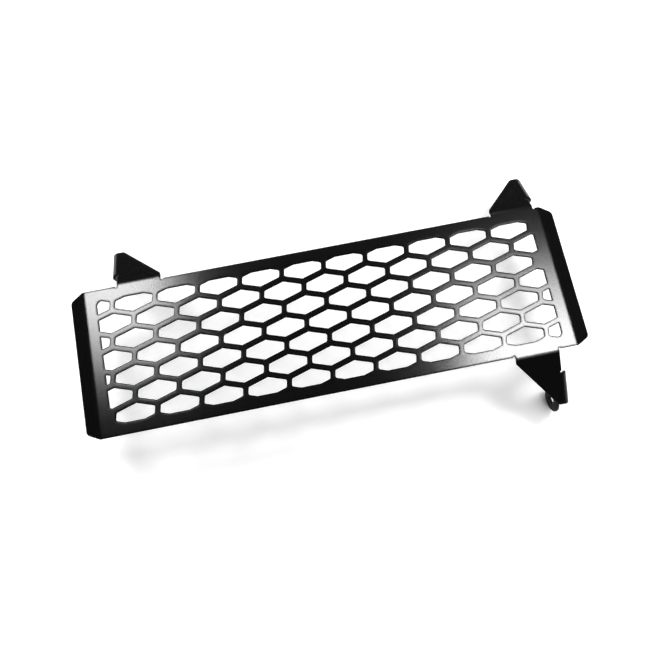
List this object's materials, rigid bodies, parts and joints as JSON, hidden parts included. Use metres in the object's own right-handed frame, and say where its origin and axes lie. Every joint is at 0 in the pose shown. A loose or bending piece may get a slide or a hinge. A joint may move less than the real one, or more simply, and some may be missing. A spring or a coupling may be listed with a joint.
{
  "type": "motorcycle radiator guard",
  "caption": "Black radiator guard folded from one sheet, with a leaning honeycomb grille, bent-back side flanges, and drilled ears on sloping tabs that bolt it over a motorcycle's radiator.",
  "frame": {"origin": "middle of the bounding box at the level of the ears' lowest points, on which the guard lies", "axes": "+X along the panel's length, towards the end with the lower ear; +Y across the panel, towards its upper edge; +Z out of the panel's face"},
  "size_m": [0.3716, 0.1846, 0.0597],
  "materials": {
    "powder_coat": "satin black powder coat"
  },
  "bodies": {
    "root": {"guard_sheet": "powder_coat"}
  },
  "joints": []
}
